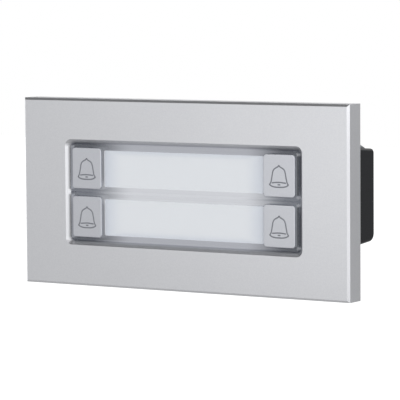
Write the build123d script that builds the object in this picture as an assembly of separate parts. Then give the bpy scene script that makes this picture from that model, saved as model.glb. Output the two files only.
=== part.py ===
from build123d import *
import os
from math import radians, tan

# Flush call panel: a silver plate with two clear name bars and four bell buttons, and behind it a
# black box that goes into the wall. X runs to the right seen from the front, Z up, Y into the wall.
# The origin is the centre of the plane where the plate's rim meets the wall. Places along Y are
# given as depths behind the plate's front face.

# Front plate
plate_width = 150.0
plate_height = 75.0
plate_depth = 9.0
plate_skin = 3.0
rim_wall = 2.5
edge_chamfer = 0.9
cavity_corner = 1.5
rib_thickness = 1.6
rib_back = 5.4
rib_places = (-45.0, -15.0, 15.0, 45.0)

# Window in the plate, with a wide bevel round it and a ledge behind it for the clear bars
window_bevel = 1.65
ledge_back = 4.3
ledge_gap = 0.35
opening_corner = 1.15
collar_wall = 2.0

# Rows of the panel
row_pitch = 19.4
rows = {"upper": row_pitch / 2, "lower": -row_pitch / 2}
sides = {"left": -1, "right": 1}

# Clear bars
bar_width = 105.6
bar_height = 19.0
bar_corner = 1.3
bar_edge = 0.5
bar_face = 0.3
bar_back = 5.7
bar_lip = 1.0
bar_window_wall = 1.1

# Bell buttons
button_x = 44.5
button_width = 13.85
button_height = 16.4
button_corner = 1.25
button_face = 0.1
button_edge = 0.35
button_back = 7.0
button_wall = 1.2
button_front_wall = 1.6
button_gap = 0.25
button_travel = 1.2
ear_reach = 1.4
ear_height = 10.0
ear_thickness = 1.0
ear_clearance = 0.4
stem_diameter = 4.6
stem_back = 9.6
stem_rib = 0.9
stem_rib_back = 5.0

# Name cards and the light behind them
card_width = 73.4
card_height = 14.5
card_thickness = 0.5
card_gap = 0.15
card_play = 0.1
card_corner = 0.4
diffuser_thickness = 2.0
reflector_front = (69.2, 13.4)
reflector_back = (62.0, 8.6)
reflector_wall = 0.9
led_places = {"left": -22.0, "middle": 0.0, "right": 22.0}
led_size = (3.5, 2.8)
led_height = 1.9
led_lens_diameter = 2.2
led_lens_depth = 0.3
led_gap = 0.3

# Key frame behind the bars
frame_flange_back = 6.9
frame_back = 10.1
frame_height = 36.0
frame_gap = 0.5
frame_corner = 1.0
frame_window = (70.0, 14.6)
stem_guide_gap = 0.3
post_diameter = 4.4
post_places = (-51.0, -18.0, 18.0, 51.0)
post_hole_diameter = 2.1
post_hole_front = 11.2

# Circuit board, switches and terminals
board_front = 14.5
board_back = 16.1
board_width = 116.0
board_height = 34.6
board_corner = 1.5
board_hole_diameter = 2.9
switch_side = 6.2
switch_front = 11.1
switch_corner = 0.8
plunger_diameter = 3.5
plunger_fit = 0.06
plunger_back = 12.6
switch_floor = 0.3
terminal_x = -24.0
terminal_z = -8.0
terminal_count = 7
terminal_pitch = 5.0
terminal_end_wall = 0.7
terminal_depth = 9.0
terminal_height = 10.0
terminal_bevel = 3.0
terminal_well_diameter = 3.8
terminal_well_depth = 4.0
terminal_well_drop = 1.0
terminal_entry = 3.4
terminal_entry_depth = 5.5

# Seals
window_seal_width = 1.1
window_seal_thickness = 0.4
box_seal_thickness = 0.8

# Rear box
box_back = 44.2
box_wall = 2.0
box_half_width = 62.2
box_half_height_back = 18.1
box_draft = 4.3
box_edge = 1.2
box_top_round = 1.8
box_bottom_round = 3.3
flange_width = 139.2
flange_height = 48.0
flange_corner = 3.0
flange_back = 8.6
catch_width = 7.0
catch_height = 2.6
catch_peak = 30.5
catch_end = 38.5
catch_root = 0.5
catch_top_x = 57.5
catch_bottom_x = 40.0

# Screws and the bosses that take them
box_screw_x = 66.2
box_screw_z = 14.0
box_screw_hole = 3.4
box_screw_head = 5.8
box_screw_shank = 2.5
box_screw_fit = 0.05
box_screw_front = 2.2
box_boss_diameter = 6.0
box_boss_floor = 1.5
board_screw_head = 4.5
board_screw_head_height = 1.8
board_screw_shank = 2.0
board_screw_front = 11.6
terminal_screw_diameter = 3.5
terminal_screw_height = 2.6
slot_width = 0.7
slot_depth = 0.8
mount_x = 67.0
mount_z = 29.5
mount_boss_diameter = 8.0
mount_hole_radius = 1.65
mount_hole_floor = 2.0
mount_web_back = 7.5

# Cable entry in the rear wall
cable_x = 34.0
cable_z = 0.0
cable_hole_diameter = 12.0
grommet_flange_diameter = 16.0
grommet_flange = 1.5
cable_bore_radius = 3.5

opening_width = bar_width + 2 * ledge_gap
opening_height = row_pitch + bar_height + 2 * ledge_gap
window_width = opening_width + 2 * window_bevel
window_height = opening_height + 2 * window_bevel
window_corner = opening_corner + window_bevel
collar_back = frame_flange_back - box_seal_thickness
lip_front = ledge_back + window_seal_thickness
card_front = bar_face + bar_window_wall + card_play
diffuser_front = card_front + card_thickness
reflector_start = diffuser_front + diffuser_thickness
pocket_floor = button_back + button_travel + ear_clearance
quadrants = [(x, z) for x in (-1, 1) for z in (-1, 1)]


def depth_plane(depth):
    """Plane parallel to the plate's face, facing the visitor, at a depth behind the face."""
    return Plane.XZ.offset(plate_depth - depth)


def block(width, height, near, far, x=0.0, z=0.0, corner=0.0):
    """Block between two depths, with rounded corners where a radius is given."""
    if corner:
        outline = RectangleRounded(width, height, corner)
    else:
        outline = Rectangle(width, height)
    return extrude(depth_plane(far) * Pos(x, z) * outline, amount=far - near)


def rod(diameter, near, far, x=0.0, z=0.0):
    """Round rod between two depths."""
    return extrude(depth_plane(far) * Pos(x, z) * Circle(diameter / 2), amount=far - near)


def taper(front, back, near, far, z=0.0):
    """Tapered block between a front rectangle and a back rectangle."""
    near_outline = depth_plane(near) * Pos(0, z) * Rectangle(*front)
    far_outline = depth_plane(far) * Pos(0, z) * Rectangle(*back)
    return loft([near_outline, far_outline])


def front_face(solid):
    """Face of a solid that is nearest to the visitor."""
    return solid.faces().sort_by(Axis.Y)[0]


def box_half_height(depth):
    """Half height of the rear box outside, which its draft makes smaller with depth."""
    return box_half_height_back + (box_back - depth) * tan(radians(box_draft))


def plate_bosses():
    """Bosses and stiffening ribs on the back of the plate."""
    bosses = []
    collar_top = window_height / 2 + collar_wall
    rim_top = plate_height / 2 - rim_wall
    rib_length = rim_top - collar_top + 1.0
    for x in rib_places:
        for side in (-1, 1):
            middle = side * (collar_top + rim_top) / 2
            bosses.append(block(rib_thickness, rib_length, plate_skin, rib_back, x, middle))
    web_x = plate_width / 2 - rim_wall - mount_x + 1.0
    web_z = rim_top - mount_z + 1.0
    for side_x, side_z in quadrants:
        x, z = side_x * mount_x, side_z * mount_z
        bosses.append(rod(mount_boss_diameter, plate_skin, plate_depth, x, z))
        bosses.append(block(web_x, rib_thickness, plate_skin, mount_web_back, x + side_x * web_x / 2, z))
        bosses.append(block(rib_thickness, web_z, plate_skin, mount_web_back, x, z + side_z * web_z / 2))
        screw_place = (side_x * box_screw_x, side_z * box_screw_z)
        bosses.append(rod(box_boss_diameter, plate_skin, frame_flange_back, *screw_place))
    return bosses


def front_plate():
    """Cast plate with chamfered edges, a hollow back and the bevelled window with its ledge."""
    plate = block(plate_width, plate_height, 0, plate_depth)
    plate = chamfer(front_face(plate).edges(), edge_chamfer)
    cavity = (plate_width - 2 * rim_wall, plate_height - 2 * rim_wall)
    plate -= block(*cavity, plate_skin, plate_depth, corner=cavity_corner)
    collar = (window_width + 2 * collar_wall, window_height + 2 * collar_wall)
    plate += block(*collar, plate_skin, collar_back, corner=window_corner + collar_wall)
    plate += plate_bosses()
    plate -= block(window_width, window_height, ledge_back, collar_back, corner=window_corner)
    plate -= block(opening_width, opening_height, 0, ledge_back, corner=opening_corner)
    for side_x, side_z in quadrants:
        mount_place = (side_x * mount_x, side_z * mount_z)
        plate -= rod(2 * mount_hole_radius, mount_hole_floor, plate_depth, *mount_place)
        screw_place = (side_x * box_screw_x, side_z * box_screw_z)
        plate -= rod(box_screw_shank + 2 * box_screw_fit, box_boss_floor, frame_flange_back, *screw_place)
    return chamfer(front_face(plate).inner_wires()[0].edges(), window_bevel)


def window_seal():
    """Flat rubber ring between the ledge and the lips of the clear bars."""
    outer = (opening_width + 2 * window_seal_width, opening_height + 2 * window_seal_width)
    ring = block(*outer, ledge_back, lip_front, corner=opening_corner + window_seal_width)
    return ring - block(opening_width, opening_height, ledge_back, lip_front, corner=opening_corner)


def name_lens(z):
    """Clear bar of one row: lip on three sides, two button pockets, card pocket at the back."""
    outward = 1 if z > 0 else -1
    bar = block(bar_width, bar_height, bar_face, bar_back, z=z, corner=bar_corner)
    bar = fillet(front_face(bar).edges(), bar_edge)
    lip = (bar_width + 2 * bar_lip, bar_height + bar_lip)
    bar += block(*lip, lip_front, bar_back, z=z + outward * bar_lip / 2, corner=bar_corner)
    pocket = (button_width + 2 * button_gap, button_height + 2 * button_gap)
    for side in sides.values():
        bar -= block(*pocket, 0, bar_back, side * button_x, z, button_corner + button_gap)
    card_pocket = (card_width + 2 * card_gap, card_height + 2 * card_gap)
    pocket_front = bar_face + bar_window_wall
    return bar - block(*card_pocket, pocket_front, bar_back, z=z, corner=card_corner + card_gap)


def name_card(z):
    """Blank card that slides in behind the clear face of the bar with a little play."""
    return block(card_width, card_height, card_front, diffuser_front, z=z, corner=card_corner)


def diffuser(z):
    """Opal sheet behind the card."""
    return block(card_width, card_height, diffuser_front, reflector_start, z=z, corner=card_corner)


def reflector(z):
    """White tapered light box that stands on the circuit board, with a hole for each lamp."""
    inner_front = [size - 2 * reflector_wall for size in reflector_front]
    inner_back = [size - 2 * reflector_wall for size in reflector_back]
    shell = taper(reflector_front, reflector_back, reflector_start, board_front, z)
    shell -= taper(inner_front, inner_back, reflector_start, board_front - reflector_wall, z)
    hole = [size + 2 * led_gap for size in led_size]
    for x in led_places.values():
        shell -= block(*hole, board_front - 2 * reflector_wall, board_front, x, z)
    return shell


def led(x, z):
    """Lamp on the circuit board, with a round dished lens."""
    front = board_front - led_height
    body = block(*led_size, front, board_front, x, z)
    return body - rod(led_lens_diameter, front, front + led_lens_depth, x, z)


def bell_button(x, z):
    """Hollow button cap with a centre stem, cross ribs and two ears that hold it behind the bar."""
    cap = block(button_width, button_height, button_face, button_back, x, z, button_corner)
    cap = fillet(front_face(cap).edges(), button_edge)
    inside = (button_width - 2 * button_wall, button_height - 2 * button_wall)
    cap -= block(*inside, button_front_wall, button_back, x, z)
    cap += block(inside[0], stem_rib, button_front_wall, stem_rib_back, x, z)
    cap += block(stem_rib, inside[1], button_front_wall, stem_rib_back, x, z)
    cap += rod(stem_diameter, button_front_wall, stem_back, x, z)
    for side in (-1, 1):
        ear_x = x + side * (button_width + ear_reach) / 2
        cap += block(ear_reach, ear_height, button_back - ear_thickness, button_back, ear_x, z)
    return cap


def switch_body(x, z):
    """Square switch body with a round guide for its plunger."""
    body = block(switch_side, switch_side, switch_front, board_front, x, z, switch_corner)
    guide = plunger_diameter + 2 * plunger_fit
    return body - rod(guide, switch_front, board_front - switch_floor, x, z)


def switch_plunger(x, z):
    """Round plunger between the button's stem and the inside of the switch."""
    return rod(plunger_diameter, stem_back, plunger_back, x, z)


def key_frame():
    """Moulded frame: flange behind the bars, button pockets, light openings and board posts."""
    flange = (window_width - 2 * frame_gap, window_height - 2 * frame_gap)
    frame = block(*flange, bar_back, frame_flange_back, corner=window_corner - frame_gap)
    frame += block(flange[0], frame_height, frame_flange_back, frame_back, corner=frame_corner)
    for x in post_places:
        frame += rod(post_diameter, frame_back, board_front, x)
        frame -= rod(post_hole_diameter, post_hole_front, board_front, x)
    pocket_width = button_width + 2 * ear_reach + 2 * ear_clearance
    pocket_height = button_height + 2 * button_gap
    for z in rows.values():
        frame -= block(*frame_window, bar_back, frame_back, z=z)
        for side in sides.values():
            x = side * button_x
            frame -= block(pocket_width, pocket_height, bar_back, pocket_floor, x, z)
            frame -= rod(stem_diameter + 2 * stem_guide_gap, pocket_floor, frame_back, x, z)
    return frame


def circuit_board():
    """Board on the frame's posts, with a hole at each post."""
    board = block(board_width, board_height, board_front, board_back, corner=board_corner)
    for x in post_places:
        board -= rod(board_hole_diameter, board_front, board_back, x)
    return board


def terminal_x_places():
    """X of each terminal in the block."""
    first = terminal_x - (terminal_count - 1) * terminal_pitch / 2
    return [first + number * terminal_pitch for number in range(terminal_count)]


def terminal_block():
    """Screw terminals on the back of the board: a well over each screw, a wire entry below it."""
    width = terminal_count * terminal_pitch + 2 * terminal_end_wall
    back = board_back + terminal_height
    body = block(width, terminal_depth, board_back, back, terminal_x, terminal_z)
    upper_back_edge = body.faces().sort_by(Axis.Y)[-1].edges().sort_by(Axis.Z)[-1]
    body = chamfer(upper_back_edge, terminal_bevel)
    well_z = terminal_z - terminal_well_drop
    entry_z = terminal_z - (terminal_depth - terminal_entry_depth) / 2
    entry_far = back - terminal_well_depth - terminal_screw_height / 2
    entry_near = entry_far - terminal_entry
    for x in terminal_x_places():
        body -= rod(terminal_well_diameter, back - terminal_well_depth, back, x, well_z)
        body -= block(terminal_entry, terminal_entry_depth, entry_near, entry_far, x, entry_z)
    return body


def slotted_head(diameter, near, far, x, z):
    """Round screw head with one driver slot across its back."""
    head = rod(diameter, near, far, x, z)
    return head - block(diameter, slot_width, far - slot_depth, far, x, z)


def terminal_screws():
    """One clamping screw in each terminal well."""
    near = board_back + terminal_height - terminal_well_depth
    far = near + terminal_screw_height
    z = terminal_z - terminal_well_drop
    return [slotted_head(terminal_screw_diameter, near, far, x, z) for x in terminal_x_places()]


def board_screws():
    """Screws that hold the board to the posts of the key frame."""
    screws = []
    for x in post_places:
        head = slotted_head(board_screw_head, board_back, board_back + board_screw_head_height, x, 0)
        screws.append(head + rod(board_screw_shank, board_screw_front, board_back, x))
    return screws


def countersink(x, z):
    """Cone of a flat screw head that seats in the box flange."""
    near = flange_back - (box_screw_head - box_screw_shank) / 2
    small = depth_plane(near) * Pos(x, z) * Circle(box_screw_shank / 2)
    large = depth_plane(flange_back) * Pos(x, z) * Circle(box_screw_head / 2)
    return loft([small, large])


def box_screws():
    """Flat-head screws from the box flange into the bosses of the plate."""
    screws = []
    for side_x, side_z in quadrants:
        place = (side_x * box_screw_x, side_z * box_screw_z)
        screw = countersink(*place) + rod(box_screw_shank, box_screw_front, flange_back - slot_depth, *place)
        screw -= block(box_screw_head, slot_width, flange_back - slot_depth, flange_back, *place)
        screws.append(screw)
    return screws


def box_seal():
    """Rubber ring between the collar of the plate and the flange of the rear box."""
    outer = (window_width + 2 * collar_wall, window_height + 2 * collar_wall)
    ring = block(*outer, collar_back, frame_flange_back, corner=window_corner + collar_wall)
    return ring - block(window_width, window_height, collar_back, frame_flange_back, corner=window_corner)


def box_profile(near, far, inset):
    """Side outline of the rear box from one depth to another, drawn in by an inset."""
    near_half = box_half_height(near) - inset
    far_half = box_half_height(far) - inset
    near_y = near - plate_depth
    far_y = far - plate_depth
    corners = [(near_y, near_half), (far_y, far_half), (far_y, -far_half), (near_y, -near_half)]
    return Plane.YZ * make_face(Polyline(*corners, close=True))


def box_catches():
    """Ramps on the top and bottom walls that hold the box in the wall opening."""
    end_z = box_half_height(catch_end)
    peak_z = box_half_height(catch_peak)
    end_y = catch_end - plate_depth
    peak_y = catch_peak - plate_depth
    crest = (peak_y, peak_z + catch_height)
    roots = [(peak_y, peak_z - catch_root), (end_y, end_z - catch_root)]
    outline = make_face(Polyline((end_y, end_z), crest, *roots, close=True))
    ramp = extrude(Plane.YZ * outline, amount=catch_width / 2, both=True)
    catches = []
    for side in (-1, 1):
        catches.append(Pos(side * catch_top_x, 0, 0) * ramp)
        catches.append(Pos(side * catch_bottom_x, 0, 0) * mirror(ramp, about=Plane.XY))
    return catches


def rear_box():
    """Moulded box with drafted walls, rounded rear edges, catch ramps and a screw flange."""
    box = extrude(box_profile(frame_flange_back, box_back, 0), amount=box_half_width, both=True)
    rear = box.faces().sort_by(Axis.Y)[-1]
    long_edges = rear.edges().filter_by(Axis.X).sort_by(Axis.Z)
    box = fillet(long_edges[-1], box_top_round)
    bottom_edge = box.faces().sort_by(Axis.Y)[-1].edges().filter_by(Axis.X).sort_by(Axis.Z)[0]
    box = fillet(bottom_edge, box_bottom_round)
    front_edges = front_face(box).edges()
    end_faces = box.faces().filter_by(Axis.X)
    box = fillet([edge for edge in end_faces.edges() if edge not in front_edges], box_edge)
    box += box_catches()
    box += block(flange_width, flange_height, frame_flange_back, flange_back, corner=flange_corner)
    inside = box_profile(frame_flange_back, box_back - box_wall, box_wall)
    box -= extrude(inside, amount=box_half_width - box_wall, both=True)
    for side_x, side_z in quadrants:
        place = (side_x * box_screw_x, side_z * box_screw_z)
        box -= rod(box_screw_hole, frame_flange_back, flange_back, *place) + countersink(*place)
    return box - rod(cable_hole_diameter, box_back - box_wall, box_back, cable_x, cable_z)


def cable_grommet():
    """Rubber grommet that grips the rear wall between two flanges, with an open cable bore."""
    inner = box_back - box_wall
    place = (cable_x, cable_z)
    ring = rod(cable_hole_diameter, inner, box_back, *place)
    ring += rod(grommet_flange_diameter, inner - grommet_flange, inner, *place)
    ring += rod(grommet_flange_diameter, box_back, box_back + grommet_flange, *place)
    return ring - rod(2 * cable_bore_radius, inner - grommet_flange, box_back + grommet_flange, *place)


nodes = {
    "front_plate": front_plate(),
    "window_seal": window_seal(),
    "key_frame": key_frame(),
    "circuit_board": circuit_board(),
    "terminal_block": terminal_block(),
    "terminal_screws": Compound(terminal_screws()),
    "board_screws": Compound(board_screws()),
    "box_seal": box_seal(),
    "rear_box": rear_box(),
    "box_screws": Compound(box_screws()),
    "cable_grommet": cable_grommet(),
}
for row, row_z in rows.items():
    nodes[f"name_lens_{row}"] = name_lens(row_z)
    nodes[f"name_card_{row}"] = name_card(row_z)
    nodes[f"diffuser_{row}"] = diffuser(row_z)
    nodes[f"reflector_{row}"] = reflector(row_z)
    for place, led_x in led_places.items():
        nodes[f"led_{row}_{place}"] = led(led_x, row_z)
    for side_name, side in sides.items():
        key = f"{row}_{side_name}"
        nodes[f"bell_button_{key}"] = bell_button(side * button_x, row_z)
        nodes[f"switch_{key}"] = switch_body(side * button_x, row_z)
        nodes[f"switch_plunger_{key}"] = switch_plunger(side * button_x, row_z)

os.makedirs("parts", exist_ok=True)
for name, solid in nodes.items():
    export_step(solid, f"parts/{name}.step")
    print(name, len(solid.solids()), round(solid.volume, 1))
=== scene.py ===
"""Finishes, printed symbols, studio and camera of a flush doorbell call panel.

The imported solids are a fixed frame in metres: X runs to the right seen from the front, Y into the
wall and Z up. The front face of the plate is the lowest Y of the object. Both rows of the panel are
alike, so what depends on place is set out from the upper row and mirrored by the size of X and Z.
"""

import logging
from dataclasses import dataclass
from enum import Enum
from math import cos, pi, radians, sin, tan
from typing import Mapping, Optional, Sequence, Union

import bpy
from mathutils import Color, Matrix, Vector


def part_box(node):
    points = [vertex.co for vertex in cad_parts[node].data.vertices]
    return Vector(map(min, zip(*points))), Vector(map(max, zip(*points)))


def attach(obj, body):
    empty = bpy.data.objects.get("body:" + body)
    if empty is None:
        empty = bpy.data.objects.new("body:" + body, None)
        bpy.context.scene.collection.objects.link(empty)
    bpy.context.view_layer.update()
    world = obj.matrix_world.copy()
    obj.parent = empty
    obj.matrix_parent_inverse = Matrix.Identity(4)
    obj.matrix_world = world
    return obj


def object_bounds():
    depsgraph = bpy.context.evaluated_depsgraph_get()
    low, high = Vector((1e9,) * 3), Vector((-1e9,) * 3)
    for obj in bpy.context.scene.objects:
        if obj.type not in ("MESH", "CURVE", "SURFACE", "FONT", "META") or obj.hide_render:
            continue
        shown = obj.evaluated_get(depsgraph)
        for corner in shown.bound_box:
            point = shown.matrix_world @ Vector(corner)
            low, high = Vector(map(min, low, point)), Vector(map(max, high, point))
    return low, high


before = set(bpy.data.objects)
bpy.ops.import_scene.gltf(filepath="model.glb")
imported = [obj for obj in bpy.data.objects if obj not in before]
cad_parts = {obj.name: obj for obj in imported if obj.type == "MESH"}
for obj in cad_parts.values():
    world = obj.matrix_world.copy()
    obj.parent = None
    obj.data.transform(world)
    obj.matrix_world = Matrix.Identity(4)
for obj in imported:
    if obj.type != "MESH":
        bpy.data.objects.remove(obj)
CAD_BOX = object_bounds()
MM = 0.001
BLACK = (0.0, 0.0, 0.0)
WHITE = (1.0, 1.0, 1.0)
BAR_LIP = 1.0 * MM

Colour = tuple[float, float, float]
Point = tuple[float, float, float]
Place = tuple[float, float]
Feed = Union["Wire", float, Sequence[float]]

log = logging.getLogger("call_panel")


class Row(Enum):
    """Rows of the panel."""

    UPPER = "upper"
    LOWER = "lower"


class Side(Enum):
    """Ends of a row."""

    LEFT = "left"
    RIGHT = "right"


def tone(code: str) -> Colour:
    """Linear colour of a screen colour.

    Args:
        code: hash sign and six hexadecimal digits.

    Returns:
        Red, green and blue as linear numbers from 0 to 1.
    """
    levels = [int(code[place:place + 2], 16) / 255 for place in (1, 3, 5)]
    red, green, blue = Color(levels).from_srgb_to_scene_linear()
    return red, green, blue


class Wire:
    """One output socket of a node tree, with arithmetic that adds Math nodes."""

    def __init__(self, sheet: "PaintSheet", socket: Optional[bpy.types.NodeSocket]) -> None:
        """Keeps the socket and the sheet that it belongs to."""
        self.sheet = sheet
        self.socket = socket

    def _maths(self, operation: str, *values: Feed) -> "Wire":
        """Adds one Math node."""
        return self.sheet.node("ShaderNodeMath", {"operation": operation}, dict(enumerate(values)))

    def __add__(self, other: Feed) -> "Wire":
        """Sum."""
        return self._maths("ADD", self, other)

    def __radd__(self, other: Feed) -> "Wire":
        """Sum with a number on the left."""
        return self._maths("ADD", other, self)

    def __sub__(self, other: Feed) -> "Wire":
        """Difference."""
        return self._maths("SUBTRACT", self, other)

    def __rsub__(self, other: Feed) -> "Wire":
        """Difference from a number on the left."""
        return self._maths("SUBTRACT", other, self)

    def __mul__(self, other: Feed) -> "Wire":
        """Product."""
        return self._maths("MULTIPLY", self, other)

    def __rmul__(self, other: Feed) -> "Wire":
        """Product with a number on the left."""
        return self._maths("MULTIPLY", other, self)

    def __abs__(self) -> "Wire":
        """Size without sign."""
        return self._maths("ABSOLUTE", self)

    def either(self, other: Feed) -> "Wire":
        """The larger of two values."""
        return self._maths("MAXIMUM", self, other)

    def about(self, middle: float, play: float) -> "Wire":
        """A value that swings about a middle as this pattern goes from 0 to 1."""
        return middle + play * (self - 0.5)

    def fade(self, start: float, end: float) -> "Wire":
        """Smooth step of this value.

        Args:
            start: value at which the step is 0.
            end: value at which the step is 1, which may be the lower of the two.

        Returns:
            The step, from 0 to 1.
        """
        ends = {"Value": self, "From Min": start, "From Max": end}
        return self.sheet.node("ShaderNodeMapRange", {"interpolation_type": "SMOOTHSTEP"}, ends)


class PaintSheet:
    """Node tree of a material, of the world or of a modifier."""

    def __init__(self, tree: bpy.types.NodeTree) -> None:
        """Starts the sheet with an empty tree."""
        self.tree = tree
        tree.nodes.clear()

    def node(
        self,
        kind: str,
        settings: Optional[Mapping[str, object]] = None,
        sockets: Optional[Mapping[Union[str, int], Feed]] = None,
        output: Union[str, int] = 0,
    ) -> Wire:
        """Adds one node.

        Args:
            kind: the node's type.
            settings: properties of the node, set before its sockets.
            sockets: values or wires of its inputs, by name or number.
            output: the output to hand back.

        Returns:
            That output, or a wire with no socket where the node has none.
        """
        made = self.tree.nodes.new(kind)
        for name, value in (settings or {}).items():
            setattr(made, name, value)
        for key, value in (sockets or {}).items():
            socket = made.inputs[key]
            if isinstance(value, Wire):
                self.tree.links.new(value.socket, socket)
            elif socket.type == "RGBA":
                socket.default_value = (*value, 1.0)
            else:
                socket.default_value = value
        return Wire(self, made.outputs[output] if made.outputs else None)

    def place(self, stretch: Point = (1, 1, 1), turn: Point = (0, 0, 0)) -> Wire:
        """Object coordinates, stretched and then turned."""
        coordinates = self.node("ShaderNodeTexCoord", output="Object")
        return self.node("ShaderNodeMapping", None, {0: coordinates, "Rotation": turn, "Scale": stretch})

    def axes(self) -> tuple[Wire, Wire, Wire]:
        """Splits the object coordinates.

        Returns:
            X, Y and Z.
        """
        split = self.node("ShaderNodeSeparateXYZ", None, {0: self.place()})
        outputs = split.socket.node.outputs
        return Wire(self, outputs[0]), Wire(self, outputs[1]), Wire(self, outputs[2])

    def noise(self, size: float, detail: float = 2.0, stretch: Point = (1, 1, 1)) -> Wire:
        """Cloudy noise.

        Args:
            size: size of its patches in metres.
            detail: how many finer layers it has.
            stretch: scale of the pattern along each axis.

        Returns:
            Values from 0 to 1.
        """
        sockets = {"Vector": self.place(stretch), "Scale": 1 / size, "Detail": detail}
        return self.node("ShaderNodeTexNoise", None, sockets)

    def mix(self, factor: Feed, first: Feed, second: Feed) -> Wire:
        """Mix of two colours, the first at factor 0 and the second at 1."""
        # The colours of a Mix node are its inputs 6 and 7 and its output 2.
        sockets = {0: factor, 6: first, 7: second}
        return self.node("ShaderNodeMix", {"data_type": "RGBA"}, sockets, output=2)

    def bump(self, height: Wire, depth: float) -> Wire:
        """Normal of a surface with this height pattern and depth in metres."""
        return self.node("ShaderNodeBump", None, {"Height": height, "Distance": depth})

    def surface(self, sockets: Mapping[str, Feed]) -> None:
        """Ends a material with its shader."""
        shader = self.node("ShaderNodeBsdfPrincipled", None, sockets)
        self.node("ShaderNodeOutputMaterial", None, {"Surface": shader})


@dataclass(frozen=True)
class Finish:
    """A named procedural material."""

    name: str

    def paint(self, sheet: PaintSheet) -> None:
        """Fills the sheet, which each kind of finish does in its own way."""
        raise NotImplementedError

    def material(self) -> bpy.types.Material:
        """Makes the material when it is first asked for.

        Returns:
            The finish's one material.
        """
        made = bpy.data.materials.get(self.name)
        if made is None:
            made = bpy.data.materials.new(self.name)
            made.use_nodes = True
            self.paint(PaintSheet(made.node_tree))
        return made


@dataclass(frozen=True)
class SilverLacquer(Finish):
    """Satin silver paint with fine metal flakes over a blasted skin."""

    light: Colour
    shade: Colour
    metallic: float
    roughness: float
    gloss_play: float = 0.12
    grain_size: float = 0.16 * MM
    grain_depth: float = 0.006 * MM
    flake_size: float = 0.44 * MM
    flake_edge: Place = (0.3, 0.7)
    flake_play: float = 0.4
    cloud_size: float = 30 * MM
    cloud_play: float = 0.4

    def paint(self, sheet: PaintSheet) -> None:
        """Ends the sheet with the lacquer."""
        sheet.surface(self.coat(sheet))

    def coat(self, sheet: PaintSheet) -> dict[str, Feed]:
        """Flakes in the colour, and a finer grain in the gloss and the relief.

        Args:
            sheet: takes the nodes.

        Returns:
            Values and wires for the shader's sockets.
        """
        grain = sheet.noise(self.grain_size, detail=3)
        flakes = sheet.noise(self.flake_size, detail=1).fade(*self.flake_edge)
        cloud = sheet.noise(self.cloud_size, detail=1)
        pattern = flakes.about(0.5, self.flake_play) + cloud.about(0, self.cloud_play)
        return {
            "Base Color": sheet.mix(pattern, self.shade, self.light),
            "Metallic": self.metallic,
            "Roughness": grain.about(self.roughness, self.gloss_play),
            "Normal": sheet.bump(grain, self.grain_depth),
        }


@dataclass(frozen=True, kw_only=True)
class PlateLacquer(SilverLacquer):
    """Lacquer of the plate, with painted shade darkening the window's bevels and painted light glowing on
    the window's end walls.

    Attributes:
        front: Y of the plate's face.
        opening: half width and half height of the window at the foot of its bevel.
        bevel: width and depth of the bevel.
        spill: painted light that glows on the end walls.
        long_bevel_painted_shade: share of black painted as shade on the bevels above and below the rows.
        long_depths: depths over which it ends, in bevels.
        end_bevel_painted_shade: share of black painted as shade at the foot of the bevels beside the
            rows.
        end_depths: depths over which it begins, in bevels.
        row_gap: height between the rows that stays free of the painted shade and light.
        sliver: width of the sharpest steps.
    """

    front: float
    opening: Place
    bevel: float
    spill: Colour
    long_bevel_painted_shade: float = 0.16
    long_depths: Place = (1.2, 1.5)
    end_bevel_painted_shade: float = 0.54
    end_depths: Place = (0.33, 0.85)
    row_gap: float = 1.4 * MM
    sliver: float = 0.06 * MM

    def coat(self, sheet: PaintSheet) -> dict[str, Feed]:
        """The lacquer, with painted shade on the window's bevels and painted light on its end walls.

        Args:
            sheet: takes the nodes.

        Returns:
            Values and wires for the shader's sockets.
        """
        lacquer = super().coat(sheet)
        x, y, z = sheet.axes()
        half_width, half_height = self.opening
        depth = y - self.front
        beside_bars = abs(z).fade(self.row_gap / 2, self.row_gap)
        shallow, deep = (share * self.bevel for share in self.long_depths)
        long_bevels = self._bevels(z, half_height) * depth.fade(0, self.sliver)
        long_bevels = long_bevels * depth.fade(deep, shallow)
        long_bevels = long_bevels * abs(x).fade(half_width + 2 * self.bevel, half_width + self.bevel)
        start, full = (share * self.bevel for share in self.end_depths)
        end_bevels = self._bevels(x, half_width) * depth.fade(start, full) * beside_bars
        end_bevels = end_bevels * abs(z).fade(half_height, half_height - self.bevel)
        end_walls = abs(abs(x) - half_width).fade(2 * self.sliver, self.sliver) * beside_bars
        end_walls = end_walls * depth.fade(self.bevel, self.bevel + self.sliver)
        end_walls = end_walls * abs(z).fade(half_height + self.sliver, half_height)
        # Painted shade: black is mixed into the colour of the bevels, most at the foot of the end bevels.
        bevel_painted_shade = (self.long_bevel_painted_shade * long_bevels).either(self.end_bevel_painted_shade * end_bevels)
        lacquer["Base Color"] = sheet.mix(bevel_painted_shade, lacquer["Base Color"], BLACK)
        # Painted light: the window's end walls glow by emission.
        lacquer["Emission Color"] = sheet.mix(end_walls, BLACK, self.spill)
        lacquer["Emission Strength"] = 1.0
        return lacquer

    def _bevels(self, place: Wire, half: float) -> Wire:
        """1 between the opening's edge and the outer edge of its bevel, along one axis."""
        reach = self.bevel / 2
        return abs(abs(place) - (half + reach)).fade(reach + self.sliver, reach)


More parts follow.
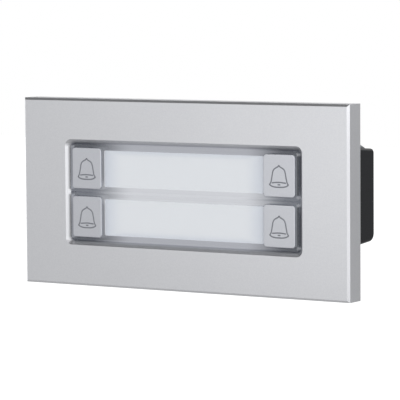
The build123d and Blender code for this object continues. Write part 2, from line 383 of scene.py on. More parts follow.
@dataclass(frozen=True)
class SpillLight:
    """Painted light, glowing by emission, that stands for the light running sideways from the cards,
    bright in the middle and gone beside the buttons.

    Attributes:
        lit_x, dark_x: distances from the middle up to which it is full and at which it has gone.
        ridge_z, outer_z: heights between which it goes from the ridge's colours to the outer ones.
        ridge, outer: light between the rows, and above and below them.
        dark_ridge, dark: what is left of both beside the buttons.
    """

    lit_x: float
    dark_x: float
    ridge_z: float
    outer_z: float
    ridge: Colour
    outer: Colour
    dark_ridge: Colour
    dark: Colour

    def painted_glow(self, sheet: PaintSheet) -> Wire:
        """Colour of the painted light behind the clear bars, by place.

        Args:
            sheet: takes the nodes.

        Returns:
            The colour.
        """
        x, _, z = sheet.axes()
        lit = abs(x).fade(self.dark_x, self.lit_x)
        between_rows = abs(z).fade(self.outer_z, self.ridge_z)
        glow = sheet.mix(between_rows, self.outer, self.ridge)
        dusk = sheet.mix(between_rows, self.dark, self.dark_ridge)
        # Painted light: full glow in the middle, fading to the dark colours beside the buttons.
        return sheet.mix(lit, dusk, glow)


@dataclass(frozen=True)
class ClearBar(Finish):
    """Clear moulding, polished in front, whose hidden walls glow with painted light that stands for the
    light of the card.

    Attributes:
        spill: painted light that glows on the hidden walls.
        haze: colour of the faint haze in front.
        end: X of the bar's right end.
        row: height of the upper row's middle.
        half_height: half the bar's height.
        pocket_end: X of the outer wall of a button's pocket.
        window: half width and half height of the card's pocket.
        window_back: Y of the bottom of that pocket.
        edge_light, edge_dark: painted light on the front and rear half of the wall beyond a button.
        corner_light: painted glint in the rounded corners at the right end.
        corner: radius of those corners.
        corner_span: where the glint begins and is full, in radii from the end.
        corner_rise, corner_cover: half its height in radii, and its cover.
        edge, sliver: widths of the soft and of the sharpest steps.
        clear_alpha: cover of the polished front.
        end_clearness: how far the end faces are seen through.
    """

    spill: SpillLight
    haze: Colour
    end: float
    row: float
    half_height: float
    pocket_end: float
    window: Place
    window_back: float
    edge_light: Colour
    edge_dark: Colour
    corner_light: Colour
    corner: float = 1.3 * MM
    corner_span: Place = (0.6, 0.25)
    corner_rise: float = 0.7
    corner_cover: float = 0.6
    edge: float = 0.35 * MM
    sliver: float = 0.04375 * MM
    clear_alpha: float = 0.06
    end_clearness: float = 0.5
    roughness: float = 0.09
    hidden_roughness: float = 0.8
    smear_size: float = 6 * MM
    smear_play: float = 0.05
    ior: float = 1.49

    def paint(self, sheet: PaintSheet) -> None:
        """Nearly see-through in front, with painted spilled light glowing by emission on every hidden
        wall.

        Args:
            sheet: takes the nodes.
        """
        x, y, z = sheet.axes()
        from_row = abs(abs(z) - self.row)
        hidden = self._hidden(x, y, from_row)
        corners = self._corners(x, from_row)
        glowing = hidden.either(corners)
        ends = abs(x).fade(self.end - self.edge, self.end)
        cover = (hidden * (1 - self.end_clearness * ends)).either(self.corner_cover * corners)
        smear = sheet.noise(self.smear_size)
        sheet.surface({
            "Base Color": sheet.mix(glowing, self.haze, BLACK),
            "Roughness": smear.about(self.roughness, self.smear_play) + self.hidden_roughness * hidden,
            "Alpha": self.clear_alpha + (1 - self.clear_alpha) * cover,
            # Painted light: the hidden walls and the right corners glow by emission.
            "Emission Color": sheet.mix(glowing, BLACK, self._glow(sheet, from_row, corners)),
            "Emission Strength": 1.0,
            "IOR": self.ior,
        })

    def _corners(self, x: Wire, from_row: Wire) -> Wire:
        """Rounded corners at the right end, where a glint is painted.

        Args:
            x: place along the row.
            from_row: height above or below the middle of the row.

        Returns:
            1 in the middle of each corner, and 0 away from it.
        """
        start, full = (self.end - share * self.corner for share in self.corner_span)
        height = abs(from_row - (self.half_height - self.corner))
        return x.fade(start, full) * height.fade(self.corner_rise * self.corner, 0)

    def _glow(self, sheet: PaintSheet, from_row: Wire, corners: Wire) -> Wire:
        """Painted light on the hidden walls and a painted glint in the rounded corners.

        Args:
            sheet: takes the nodes.
            from_row: height above or below the middle of the row.
            corners: 1 on the rounded corners.

        Returns:
            The painted spilled light, bright beside the cards and split in two beyond the buttons.
        """
        x, y, _ = sheet.axes()
        half_width, half_height = self.window
        # Painted light on the card pocket's end walls, as if lit by the card.
        beside_card = abs(abs(x) - half_width).fade(2 * self.sliver, self.sliver)
        beside_card = beside_card * from_row.fade(half_height + 2 * self.sliver, half_height)
        beyond_button = abs(abs(x) - self.pocket_end).fade(4 * self.sliver, 2 * self.sliver)
        below_corner = from_row.fade(self.half_height - self.edge, self.half_height - self.corner)
        deep = y.fade(self.window_back - self.edge, self.window_back + 4 * self.sliver)
        # Painted light on the pocket wall beyond each button, brighter at the front than behind.
        pocket_wall = sheet.mix(deep, self.edge_light, self.edge_dark)
        glow = sheet.mix(beside_card, self.spill.painted_glow(sheet), self.spill.ridge)
        glow = sheet.mix(beyond_button * below_corner, glow, pocket_wall)
        # Painted glint in the rounded corners at the right end.
        return sheet.mix(corners, glow, self.corner_light)

    def _hidden(self, x: Wire, y: Wire, from_row: Wire) -> Wire:
        """Walls that aren't seen through.

        Args:
            x: place along the row.
            y: place into the wall.
            from_row: height above or below the middle of the row.

        Returns:
            0 on the front and before the card, and 1 on the walls behind and between them.
        """
        half_width, half_height = self.window
        deep = y.fade(self.window_back - 2 * self.edge, self.window_back - self.edge)
        across = abs(x).fade(half_width, half_width - self.sliver)
        upright = from_row.fade(half_height, half_height - self.sliver)
        before_card = y.fade(self.window_back + 2 * self.sliver, self.window_back + self.sliver)
        return deep * (1 - across * upright * before_card)


@dataclass(frozen=True)
class CardStock(Finish):
    """Blank white card with painted shade: a little darker and bluer at its ends, where the lamps don't
    reach, and along its outer edges.
    """

    white: Colour
    end: Colour
    end_x: float
    end_z: float
    end_shade: float = 9 * MM
    rim_shade: float = 2.6 * MM
    rim_strength: float = 0.85
    tip_shade: float = 1.2 * MM
    tip_strength: float = 0.1
    fibre_size: float = 0.5 * MM
    fibre_stretch: Point = (0.3, 1, 1)
    fibre_strength: float = 0.06
    fibre_depth: float = 0.004 * MM
    roughness: float = 0.6
    gloss_play: float = 0.1

    def paint(self, sheet: PaintSheet) -> None:
        """Painted shade at the ends, along the outer edges and at the tips, under a faint fibre.

        Args:
            sheet: takes the nodes.
        """
        x, _, z = sheet.axes()
        fibre = sheet.noise(self.fibre_size, detail=4, stretch=self.fibre_stretch)
        ends = abs(x).fade(self.end_x - self.end_shade, self.end_x)
        rim = abs(z).fade(self.end_z - self.rim_shade, self.end_z)
        tips = abs(x).fade(self.end_x - self.tip_shade, self.end_x)
        # Painted shade: the ends and the outer edges fade to the bluer end colour.
        shade = ends.either(self.rim_strength * rim) + self.fibre_strength * fibre
        body = sheet.mix(shade, self.white, self.end)
        sheet.surface({
            # Painted shade: the last stretch of each end is darkened towards black.
            "Base Color": sheet.mix(self.tip_strength * tips, body, BLACK),
            "Roughness": fibre.about(self.roughness, self.gloss_play),
            "Normal": sheet.bump(fibre, self.fibre_depth),
        })


@dataclass(frozen=True)
class Moulding(Finish):
    """Moulded plastic or rubber with a fine spark-eroded grain."""

    light: Colour
    shade: Colour
    roughness: float
    gloss: float = 0.5
    grain_size: float = 0.25 * MM
    grain_depth: float = 0.012 * MM
    grain_play: float = 0.14
    streak: Point = (1, 1, 1)
    streak_size: float = 5 * MM
    streak_share: float = 0.75
    streak_play: float = 0.1

    def paint(self, sheet: PaintSheet) -> None:
        """Flow streaks in the colour and grain in the relief.

        Args:
            sheet: takes the nodes.
        """
        grain = sheet.noise(self.grain_size, detail=2)
        flow = sheet.noise(self.streak_size, detail=3, stretch=self.streak)
        pattern = self.streak_share * flow + (1 - self.streak_share) * grain
        sheet.surface({
            "Base Color": self.colour(sheet, pattern),
            "Roughness": grain.about(self.roughness, self.grain_play) + flow.about(0, self.streak_play),
            "Specular IOR Level": self.gloss,
            "Normal": sheet.bump(grain, self.grain_depth),
        })

    def colour(self, sheet: PaintSheet, pattern: Wire) -> Wire:
        """Colour of the surface under a pattern from 0 to 1."""
        return sheet.mix(pattern, self.shade, self.light)


@dataclass(frozen=True, kw_only=True)
class BoxMoulding(Moulding):
    """Moulding of the rear box, with painted light that makes the ends of the catches above its drafted
    top wall pale, where light from above catches them.

    Attributes:
        rear, rear_height: Y of the box's rear wall, and half the box's height there.
        draft: angle at which it widens towards the plate.
        catch_peak, catch_end: Y of the catches' highest edge, and X of their outer ends.
        painted_catch_light: colour of the painted highlight on those ends.
        foot, ramp: height above the wall, and length up to the highest edge, over which it begins.
        rim: where it begins and is full, inside the ends.
    """

    rear: float
    rear_height: float
    draft: float
    catch_peak: float
    catch_end: float
    painted_catch_light: Colour
    foot: float = 0.25 * MM
    ramp: float = 1 * MM
    rim: Place = (0.3 * MM, 0.1 * MM)

    def colour(self, sheet: PaintSheet, pattern: Wire) -> Wire:
        """The moulding's colour, with a painted highlight on the catches' ends.

        Args:
            sheet: takes the nodes.
            pattern: streaks and grain, from 0 to 1.

        Returns:
            Colour of the surface.
        """
        x, y, z = sheet.axes()
        wall = self.rear_height + tan(self.draft) * (self.rear - y)
        above = (z - wall).fade(0, self.foot) * y.fade(self.catch_peak - self.ramp, self.catch_peak)
        start, full = (self.catch_end - inset for inset in self.rim)
        # Painted highlight: the catches' ends are mixed towards a pale colour.
        return sheet.mix(above * abs(x).fade(start, full), super().colour(sheet, pattern), self.painted_catch_light)


@dataclass(frozen=True)
class SpillMoulding(Finish):
    """Black moulding of the key frame, whose front glows with painted light that stands for the spilled
    light of the cards.
    """

    spill: SpillLight
    black: Colour
    front_start: float
    front_end: float
    grain_size: float = 0.25 * MM
    grain_depth: float = 0.01 * MM
    roughness: float = 0.45
    gloss_play: float = 0.12

    def paint(self, sheet: PaintSheet) -> None:
        """Painted spilled light glowing on the front face, plain black moulding behind it.

        Args:
            sheet: takes the nodes.
        """
        _, y, _ = sheet.axes()
        front = y.fade(self.front_end, self.front_start)
        grain = sheet.noise(self.grain_size)
        sheet.surface({
            "Base Color": sheet.mix(front, self.black, BLACK),
            "Roughness": grain.about(self.roughness, self.gloss_play),
            # Painted light: a thin layer of the front glows by emission.
            "Emission Color": sheet.mix(front, BLACK, self.spill.painted_glow(sheet)),
            "Emission Strength": 1.0,
            "Normal": sheet.bump(grain, self.grain_depth),
        })


@dataclass(frozen=True)
class BoardLaminate(Finish):
    """Green board with copper tracks under the resist, whose widths and lengths are in pitches."""

    resist: Colour
    track: Colour
    gap: Colour
    pitch: float = 2.54 * MM
    track_width: float = 0.5
    track_length: float = 7.0
    gap_width: float = 0.06
    step: float = 0.35
    step_rows: int = 3
    relief_depth: float = 0.03 * MM
    roughness: float = 0.3
    gap_roughness: float = 0.2

    def paint(self, sheet: PaintSheet) -> None:
        """Tracks as the courses of a brick pattern on the board's face.

        Args:
            sheet: takes the nodes.
        """
        course = {"offset": self.step, "offset_frequency": self.step_rows}
        sizes = {
            "Vector": sheet.place(turn=(pi / 2, 0, 0)),
            "Color1": self.resist,
            "Color2": self.track,
            "Mortar": self.gap,
            "Scale": 1 / self.pitch,
            "Mortar Size": self.gap_width,
            "Brick Width": self.track_length,
            "Row Height": self.track_width,
        }
        tracks = sheet.node("ShaderNodeTexBrick", course, sizes)
        gaps = sheet.node("ShaderNodeTexBrick", course, sizes, output=1)
        sheet.surface({
            "Base Color": tracks,
            "Roughness": self.roughness + self.gap_roughness * gaps,
            "Normal": sheet.bump(1 - gaps, self.relief_depth),
        })


@dataclass(frozen=True)
class ScrewSteel(Finish):
    """Bright zinc-plated steel with turning marks."""

    light: Colour
    shade: Colour
    mark_size: float = 0.2 * MM
    mark_stretch: Point = (1, 6, 0.4)
    mark_depth: float = 0.006 * MM
    roughness: float = 0.34
    gloss_play: float = 0.2

    def paint(self, sheet: PaintSheet) -> None:
        """Fine marks in the colour, the gloss and the relief.

        Args:
            sheet: takes the nodes.
        """
        marks = sheet.noise(self.mark_size, detail=4, stretch=self.mark_stretch)
        sheet.surface({
            "Base Color": sheet.mix(marks, self.shade, self.light),
            "Metallic": 1.0,
            "Roughness": marks.about(self.roughness, self.gloss_play),
            "Normal": sheet.bump(marks, self.mark_depth),
        })


@dataclass(frozen=True)
class SymbolInk(Finish):
    """Grey printing ink."""

    dark: Colour
    light: Colour
    speck_size: float = 0.12 * MM
    roughness: float = 0.575
    gloss_play: float = 0.15

    def paint(self, sheet: PaintSheet) -> None:
        """Ink that covers a little unevenly.

        Args:
            sheet: takes the nodes.
        """
        specks = sheet.noise(self.speck_size, detail=2)
        sheet.surface({
            "Base Color": sheet.mix(specks, self.dark, self.light),
            "Roughness": specks.about(self.roughness, self.gloss_play),
        })


def dress(node: str, finish: Finish) -> None:
    """Gives a solid of the frame its finish.

    Args:
        node: name of the solid.
        finish: finish for all of its material slots.
    """
    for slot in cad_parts[node].material_slots:
        slot.material = finish.material()
    log.info("%s: %s", node, finish.name)


def button_keys() -> list[str]:
    """Endings of the four buttons' names, row by row."""
    return [f"{row.value}_{side.value}" for row in Row for side in Side]


@dataclass
class FrontPlate:
    """Silver plate with the bevelled window."""

    lacquer: PlateLacquer

    def dress(self) -> None:
        """Paints the plate."""
        dress("front_plate", self.lacquer)


@dataclass
class NameRows:
    """Clear bars, cards and the light boxes behind them."""

    clear: ClearBar
    card: CardStock
    opal: Moulding
    white: Moulding
    lamp: Moulding
    lamp_places: tuple[str, ...] = ("left", "middle", "right")

    def dress(self) -> None:
        """Finishes each row from front to back."""
        for row in Row:
            dress(f"name_lens_{row.value}", self.clear)
            dress(f"name_card_{row.value}", self.card)
            dress(f"diffuser_{row.value}", self.opal)
            dress(f"reflector_{row.value}", self.white)
            for place in self.lamp_places:
                dress(f"led_{row.value}_{place}", self.lamp)


class StrokeTree:
    """Geometry nodes that lay a flat printed line along curves."""

    def __init__(self) -> None:
        """Builds the tree with its named inputs."""
        self.tree = bpy.data.node_groups.new("printed_line", "GeometryNodeTree")
        self.inputs = {
            name: self.tree.interface.new_socket(name, in_out="INPUT", socket_type=kind).identifier
            for name, kind in (
                ("Geometry", "NodeSocketGeometry"),
                ("Line Width", "NodeSocketFloat"),
                ("Line Depth", "NodeSocketFloat"),
                ("Ink", "NodeSocketMaterial"),
            )
        }
        self.tree.interface.new_socket("Geometry", in_out="OUTPUT", socket_type="NodeSocketGeometry")
        self._wire()

    def _wire(self) -> None:
        """Sweeps a rectangle along the curves, turned so that the line lies flat on a front face."""
        sheet = PaintSheet(self.tree)
        given = {name: sheet.node("NodeGroupInput", output=name) for name in self.inputs}
        sides = {"Width": given["Line Depth"], "Height": given["Line Width"]}
        section = sheet.node("GeometryNodeCurvePrimitiveQuadrilateral", None, sides)
        facing = {"Curve": given["Geometry"], "Normal": (0, 1, 0)}
        flat = sheet.node("GeometryNodeSetCurveNormal", {"mode": "FREE"}, facing)
        sweep = {"Curve": flat, "Profile Curve": section, "Fill Caps": True}
        line = sheet.node("GeometryNodeCurveToMesh", None, sweep)
        real = sheet.node("GeometryNodeRealizeInstances", None, {"Geometry": line})
        inked = sheet.node("GeometryNodeSetMaterial", None, {"Geometry": real, "Material": given["Ink"]})
        sheet.node("NodeGroupOutput", None, {"Geometry": inked})

    def print_along(
        self, name: str, curve: bpy.types.Curve, values: Mapping[str, object],
    ) -> bpy.types.Object:
        """Turns curves into a plain mesh of printed lines.

        Args:
            name: name of the new piece.
            curve: centre lines, at their place in the frame.
            values: the tree's inputs by name.

        Returns:
            The mesh object, at the origin.
        """
        carrier = bpy.data.objects.new(f"{name}_lines", curve)
        bpy.context.scene.collection.objects.link(carrier)
        modifier = carrier.modifiers.new("printed_line", "NODES")
        modifier.node_group = self.tree
        for label, value in values.items():
            modifier[self.inputs[label]] = value
        graph = bpy.context.evaluated_depsgraph_get()
        mesh = bpy.data.meshes.new_from_object(carrier.evaluated_get(graph))
        bpy.data.objects.remove(carrier)
        piece = bpy.data.objects.new(name, mesh)
        bpy.context.scene.collection.objects.link(piece)
        return piece


@dataclass
class BellButtons:
    """Four silver buttons, each with a printed bell on its face.

    Attributes:
        lacquer, ink: paint of the buttons and print of the bells.
        line_width, line_depth: width and thickness of the printed lines.
        half_outline: right half of a bell from its lip up. This and the places below are across and
            up from the centre of the face, in millimetres.
        crown: tip of the bell.
        mouth_sag: how far the mouth's lower line hangs below its ends.
        mouth_turn: where that line turns, as shares of the lip's reach and of the sag.
        mouth_top, mouth_rise: right end of the mouth's upper line, and its rise in the middle.
        clapper: right end of the clapper's line.
    """

    lacquer: SilverLacquer
    ink: SymbolInk
    line_width: float = 0.52 * MM
    line_depth: float = 0.05 * MM
    half_outline: tuple[Place, ...] = (
        (4.2, -3.5), (3.6, -2.6), (3.25, -1.2), (2.95, 0.3), (2.7, 1.45), (2.25, 2.35), (1.15, 3.1),
        (0.42, 3.47),
    )
    crown: Place = (0.0, 3.9)
    mouth_sag: float = 0.9
    mouth_turn: Place = (0.7, 0.68)
    mouth_top: Place = (3.1, -2.75)
    mouth_rise: float = 0.22
    clapper: Place = (0.6, -3.45)

    def build(self) -> None:
        """Prints the four bells."""
        press = StrokeTree()
        for key in button_keys():
            self._print_bell(press, key)

    def dress(self) -> None:
        """Paints the four buttons."""
        for key in button_keys():
            dress(f"bell_button_{key}", self.lacquer)

    def _print_bell(self, press: StrokeTree, key: str) -> None:
        """Prints one bell on the face of its button and lets it travel with the button.

        Args:
            press: geometry nodes of the printed lines.
            key: ending of the button's names.
        """
        low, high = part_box(f"bell_button_{key}")
        middle = Vector(((low.x + high.x) / 2, low.y, (low.z + high.z) / 2))
        values = {
            "Line Width": self.line_width,
            "Line Depth": self.line_depth,
            "Ink": self.ink.material(),
        }
        mark = press.print_along(f"bell_mark_{key}", self._bell_lines(key, middle), values)
        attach(mark, f"button_{key}")
        log.info("bell_mark_%s: %d faces", key, len(mark.data.polygons))

    def _bell_lines(self, key: str, middle: Vector) -> bpy.types.Curve:
        """Centre lines of a bell: its outline, its mouth and its clapper.

        Args:
            key: ending of the button's names.
            middle: centre of the button's face.

        Returns:
            A curve with a spline for each line, at its place in the frame.
        """
        lines = bpy.data.curves.new(f"bell_lines_{key}", "CURVE")
        lines.dimensions = "3D"
        lip = self.half_outline[0]
        reach, height = lip
        turn_reach, turn_sag = self.mouth_turn
        turn = (turn_reach * reach, height - turn_sag * self.mouth_sag)
        _, top_height = self.mouth_top
        self._add_line(lines, middle, self.half_outline, (self.crown,))
        self._add_line(lines, middle, (lip, turn), ((0.0, height - self.mouth_sag),))
        self._add_line(lines, middle, (self.mouth_top,), ((0.0, top_height + self.mouth_rise),))
        self._add_line(lines, middle, (self.clapper,))
        return lines

    def _add_line(
        self, lines: bpy.types.Curve, middle: Vector, half: Sequence[Place], centre: Sequence[Place] = (),
    ) -> None:
        """Adds one smooth line that is the same to the left and the right.

        Args:
            lines: the curve that takes it.
            middle: centre of the button's face.
            half: places of its right half, from the end inwards.
            centre: its place in the middle, if it has one.
        """
        points = [*((-x, z) for x, z in half), *centre, *reversed(half)]
        line = lines.splines.new("BEZIER")
        line.bezier_points.add(len(points) - 1)
        for knot, (x, z) in zip(line.bezier_points, points):
            knot.co = middle + Vector((x, 0, z)) * MM
            knot.handle_left_type = "AUTO"
            knot.handle_right_type = "AUTO"


@dataclass
class Electronics:
    """Key frame, circuit board, switches and terminals behind the buttons."""

    frame_black: SpillMoulding
    laminate: BoardLaminate
    switch_black: Moulding
    terminal_grey: Moulding
    steel: ScrewSteel

    def dress(self) -> None:
        """Finishes the pieces from front to back."""
        dress("key_frame", self.frame_black)
        dress("circuit_board", self.laminate)
        dress("board_screws", self.steel)
        dress("terminal_block", self.terminal_grey)
        dress("terminal_screws", self.steel)
        for key in button_keys():
            dress(f"switch_{key}", self.switch_black)
            dress(f"switch_plunger_{key}", self.terminal_grey)


@dataclass
class RearBox:
    """Black box in the wall, with its seals, screws and cable grommet."""

    black: BoxMoulding
    rubber: Moulding
    steel: ScrewSteel

    def dress(self) -> None:
        """Finishes the box and what is fixed to it."""
        dress("rear_box", self.black)
        dress("box_screws", self.steel)
        for seal in ("window_seal", "box_seal", "cable_grommet"):
            dress(seal, self.rubber)


@dataclass(frozen=True)
class Panel:
    """A flat square of the studio that faces the object, in metres, and white at level 1."""

    name: str
    direction: Point
    distance: float
    size: float
    level: float


@dataclass
class Studio:
    """Pale floor, white surroundings, soft boxes, reflection cards and the camera.

    Attributes:
        floor_drop: height of the object above the floor.
        floor_lift: brightness that the eye and mirrors see on top of the lit paint.
        surround: light of the surroundings on matt surfaces, where 1 is white.
        soft_boxes: lamps.
        cards: panels that only polished and satin surfaces see.
        yaw, pitch, roll: degrees that the camera stands to the right and above, and is turned.
        target: the point in the middle of the picture.
        lens, sensor: focal length and width of the picture's sensor in millimetres.
        nearest: distance from which the camera sees.
    """

    floor_drop: float = 0.16
    floor_size: float = 6.0
    floor_colour: Colour = (0.86, 0.86, 0.86)
    speckle_colour: Colour = (0.8, 0.8, 0.8)
    speckle_size: float = 3 * MM
    speckle_share: float = 0.04
    floor_lift: float = 0.45
    surround: float = 0.85
    soft_boxes: tuple[Panel, ...] = (
        Panel("right_soft_box", (0.843, -0.531, -0.083), 0.9, 0.6, 0.75),
        Panel("front_soft_box", (-0.25, -0.75, 0.65), 1.2, 0.9, 0.7),
    )
    cards: tuple[Panel, ...] = (
        Panel("floor_card", (0.0, 0.0, -1.0), 0.1, 0.7, 0.5),
        Panel("top_card", (-0.45, 0.05, 0.89), 0.45, 0.8, 0.05),
        Panel("left_card", (-0.86, -0.5, -0.09), 0.45, 0.5, 0.62),
        Panel("back_card", (0.56, 0.82, -0.31), 0.36, 0.4, 0.345),
        Panel("edge_card", (0.13, -0.045, -0.015), 0.14, 0.08, 1.15),
    )
    yaw: float = 32.168
    pitch: float = 4.778
    roll: float = -0.398
    camera_distance: float = 1.02712
    target: Point = (0.008949, -0.009, -0.000915)
    lens: float = 237.75
    sensor: float = 36.0
    nearest: float = 0.05

    def build(self) -> None:
        """Sets up everything round the object."""
        self._surroundings()
        self._floor()
        for box in self.soft_boxes:
            self._soft_box(box)
        for card in self.cards:
            self._card(card)
        self._camera()
        bpy.context.scene.view_settings.view_transform = "Standard"

    def _surroundings(self) -> None:
        """White to the eye, to mirrors and through glass, and a softer light on matt surfaces."""
        world = bpy.data.worlds.new("white_surroundings")
        world.use_nodes = True
        bpy.context.scene.world = world
        sheet = PaintSheet(world.node_tree)
        strength = self.surround + (1 - self.surround) * self._seen(sheet)
        light = sheet.node("ShaderNodeBackground", None, {"Color": WHITE, "Strength": strength})
        sheet.node("ShaderNodeOutputWorld", None, {"Surface": light})

    def _seen(self, sheet: PaintSheet) -> Wire:
        """Tells the rays that show a picture from those that only light a surface.

        Args:
            sheet: takes the nodes.

        Returns:
            1 for camera, glossy and transmission rays, and 0 for the others.
        """
        camera = sheet.node("ShaderNodeLightPath", output="Is Camera Ray")
        outputs = camera.socket.node.outputs
        glossy = Wire(sheet, outputs["Is Glossy Ray"])
        return camera.either(glossy).either(Wire(sheet, outputs["Is Transmission Ray"]))

    def _floor(self) -> None:
        """Pale floor below the panel, lifted to white for the eye and still able to take a shadow."""
        level = CAD_BOX[0].z - self.floor_drop
        place = Matrix.Translation((0, 0, level))
        _, sheet = self._square("floor", "pale_floor", place, self.floor_size)
        speckle = self.speckle_share * sheet.noise(self.speckle_size)
        paint = sheet.mix(speckle, self.floor_colour, self.speckle_colour)
        matt = sheet.node("ShaderNodeBsdfDiffuse", None, {"Color": paint})
        lift = sheet.node("ShaderNodeEmission", None, {"Strength": self.floor_lift * self._seen(sheet)})
        both = sheet.node("ShaderNodeAddShader", None, {0: matt, 1: lift})
        sheet.node("ShaderNodeOutputMaterial", None, {"Surface": both})

    def _card(self, card: Panel) -> None:
        """Sets up a card that only polished and satin surfaces see.

        Args:
            card: its place, size and level.
        """
        away = Vector(card.direction).normalized()
        turn = (-away).to_track_quat("Z", "Y").to_matrix().to_4x4()
        place = Matrix.Translation(away * card.distance) @ turn
        square, sheet = self._square(card.name, f"{card.name}_paint", place, card.size)
        glow = sheet.node("ShaderNodeEmission", None, {"Strength": card.level})
        sheet.node("ShaderNodeOutputMaterial", None, {"Surface": glow})
        square.visible_camera = False
        square.visible_diffuse = False
        square.visible_transmission = False
        square.visible_shadow = False

    def _square(
        self, name: str, paint: str, place: Matrix, size: float,
    ) -> tuple[bpy.types.Object, PaintSheet]:
        """Makes a flat square piece of the studio.

        Args:
            name: name of the piece.
            paint: name of its material.
            place: its middle and turn.
            size: length of its sides.

        Returns:
            The piece, at the origin with its place in its mesh, and its material's empty sheet.
        """
        half = size / 2
        signs = ((-1, -1), (1, -1), (1, 1), (-1, 1))
        corners = [place @ Vector((across * half, up * half, 0)) for across, up in signs]
        mesh = bpy.data.meshes.new(name)
        mesh.from_pydata(corners, [], [(0, 1, 2, 3)])
        made = bpy.data.objects.new(name, mesh)
        bpy.context.scene.collection.objects.link(made)
        material = bpy.data.materials.new(paint)
        material.use_nodes = True
        mesh.materials.append(material)
        return made, PaintSheet(material.node_tree)

    def _soft_box(self, box: Panel) -> None:
        """Sets up a square lamp whose face shines at the given level, aimed at the object.

        Args:
            box: its place, size and level.
        """
        lamp = bpy.data.lights.new(box.name, "AREA")
        lamp.shape = "SQUARE"
        lamp.size = box.size
        lamp.energy = pi * box.level * box.size ** 2
        carrier = bpy.data.objects.new(box.name, lamp)
        bpy.context.scene.collection.objects.link(carrier)
        away = Vector(box.direction).normalized()
        carrier.location = away * box.distance
        carrier.rotation_mode = "QUATERNION"
        carrier.rotation_quaternion = (-away).to_track_quat("-Z", "Y")
        carrier.visible_camera = False

    def _camera(self) -> None:
        """Camera at the photograph's place, with its slight roll."""
        yaw, pitch, roll = radians(self.yaw), radians(self.pitch), radians(self.roll)
        back = Vector((sin(yaw) * cos(pitch), -cos(yaw) * cos(pitch), sin(pitch)))
        level = Vector((cos(yaw), sin(yaw), 0))
        upright = level.cross(-back)
        right = level * cos(roll) + upright * sin(roll)
        up = upright * cos(roll) - level * sin(roll)
        place = Matrix((right, up, back)).transposed().to_4x4()
        place.translation = Vector(self.target) + back * self.camera_distance
        lens = bpy.data.cameras.new("photo_camera")
        lens.lens = self.lens
        lens.sensor_width = self.sensor
        lens.clip_start = self.nearest
        camera = bpy.data.objects.new("photo_camera", lens)
        camera.matrix_world = place
        bpy.context.scene.collection.objects.link(camera)
        bpy.context.scene.camera = camera


def spill_light() -> SpillLight:
    """Sets out the painted spilled light from the cards and the bars of the frame.

    Returns:
        The light, full well inside the cards' ends and gone beside the buttons.
    """
    inside_card = 11.7 * MM
    inside_bar = 7.5 * MM
    return SpillLight(
        lit_x=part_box("name_card_upper")[1].x - inside_card,
        dark_x=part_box("name_lens_upper")[1].x - inside_bar,
        ridge_z=2.5 * MM,
        outer_z=6.0 * MM,
        ridge=tone("#C9CBD0"),
        outer=tone("#A5A7AE"),
        dark_ridge=tone("#6B6E76"),
        dark=tone("#4A4D54"),
    )


def clear_bar(spill: SpillLight) -> ClearBar:
    """Sets out the finish of the clear bars from the upper bar and its card.

    Args:
        spill: painted light on the bars' hidden walls.

    Returns:
        The finish of both bars.
    """
    card_low, card_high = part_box("name_card_upper")
    bar_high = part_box("name_lens_upper")[1]
    row = (card_low.z + card_high.z) / 2
    card_gap = 0.15 * MM
    card_play = 0.1 * MM
    button_web = 1.125 * MM
    return ClearBar(
        "name_bar_clear",
        spill,
        haze=tone("#E8EBEE"),
        end=bar_high.x - BAR_LIP,
        row=row,
        half_height=bar_high.z - BAR_LIP - row,
        pocket_end=bar_high.x - BAR_LIP - button_web,
        window=(card_high.x + card_gap, (card_high.z - card_low.z) / 2 + card_gap),
        window_back=card_low.y - card_play,
        # Painted light on the pocket walls beyond the buttons, and a painted glint in the right corners.
        edge_light=tone("#70737B"),
        edge_dark=tone("#3A3D43"),
        corner_light=tone("#9C9EA2"),
    )


def plate_lacquer(spill: SpillLight) -> PlateLacquer:
    """Sets out the finish of the plate, whose window stands a small gap clear of the bars.

    Args:
        spill: painted light on the window's end walls.

    Returns:
        The finish of the plate.
    """
    bar_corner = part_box("name_lens_upper")[1]
    bar_gap = 0.35 * MM
    return PlateLacquer(
        "plate_silver_lacquer",
        tone("#E2E3E6"),
        tone("#D9DADE"),
        metallic=0.9,
        roughness=0.4,
        front=CAD_BOX[0].y,
        opening=(bar_corner.x - BAR_LIP + bar_gap, bar_corner.z - BAR_LIP + bar_gap),
        bevel=1.65 * MM,
        # Painted light that glows on the window's end walls.
        spill=spill.outer,
    )


def key_frame_moulding(spill: SpillLight) -> SpillMoulding:
    """Sets out the finish of the key frame, with painted light glowing on a thin layer of its front.

    Args:
        spill: painted light on the front.

    Returns:
        The finish of the key frame.
    """
    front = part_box("key_frame")[0].y
    lit_depth = 0.1 * MM
    dark_depth = 0.4 * MM
    return SpillMoulding("key_frame_black", spill, tone("#1E1F21"), front + lit_depth, front + dark_depth)


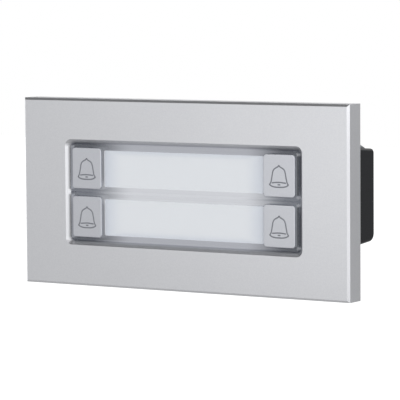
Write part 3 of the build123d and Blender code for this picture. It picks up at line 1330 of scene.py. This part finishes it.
def rear_box_moulding() -> BoxMoulding:
    """Sets out the finish of the rear box from the plate's face.

    Returns:
        The finish of the box.
    """
    front = CAD_BOX[0].y
    rear_depth = 44.2 * MM
    catch_depth = 30.5 * MM
    return BoxMoulding(
        "rear_box_black",
        tone("#15171C"),
        tone("#0E1014"),
        roughness=0.32,
        gloss=0.3,
        streak=(1, 1, 0.06),
        rear=front + rear_depth,
        rear_height=18.1 * MM,
        draft=radians(4.3),
        catch_peak=front + catch_depth,
        catch_end=61 * MM,
        # Pale colour of the painted highlight on the catches' ends.
        painted_catch_light=tone("#888A8E"),
    )


def main() -> None:
    """Builds and dresses the sub-assemblies from front to back, then the studio."""
    logging.basicConfig(level=logging.INFO, format="%(name)s %(message)s")
    spill = spill_light()
    card_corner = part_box("name_card_upper")[1]
    steel = ScrewSteel("screw_steel_plated", tone("#D0D1D4"), tone("#9A9CA0"))

    plate = FrontPlate(plate_lacquer(spill))
    rows = NameRows(
        clear=clear_bar(spill),
        card=CardStock("name_card_white", tone("#E6E9ED"), tone("#D5DAE3"), card_corner.x, card_corner.z),
        opal=Moulding("diffuser_opal", tone("#EEF0F0"), tone("#E2E4E5"), roughness=0.4),
        white=Moulding("reflector_white", tone("#F0F0EE"), tone("#E6E6E3"), roughness=0.5),
        lamp=Moulding("lamp_ceramic_white", tone("#F2EFE0"), tone("#E6DDB0"), roughness=0.35),
    )
    silver = SilverLacquer(
        "button_silver_lacquer", tone("#D3D5DB"), tone("#C9CBD1"), metallic=0.85, roughness=0.4,
    )
    buttons = BellButtons(silver, SymbolInk("bell_symbol_ink", tone("#74777E"), tone("#80838A")))
    inside = Electronics(
        key_frame_moulding(spill),
        BoardLaminate("board_green_laminate", tone("#1F5B38"), tone("#2C7A4B"), tone("#174A2D")),
        switch_black=Moulding("switch_moulding_black", tone("#2A2B2D"), tone("#1D1E20"), roughness=0.5),
        terminal_grey=Moulding("terminal_moulding_grey", tone("#8A8D90"), tone("#73767A"), roughness=0.5),
        steel=steel,
    )
    rear = RearBox(
        rear_box_moulding(),
        rubber=Moulding("seal_rubber_black", tone("#242526"), tone("#18191A"), roughness=0.75, gloss=0.3),
        steel=steel,
    )
    plate.dress()
    rows.dress()
    buttons.build()
    buttons.dress()
    inside.dress()
    rear.dress()
    Studio().build()


if __name__ == "__main__":
    main()
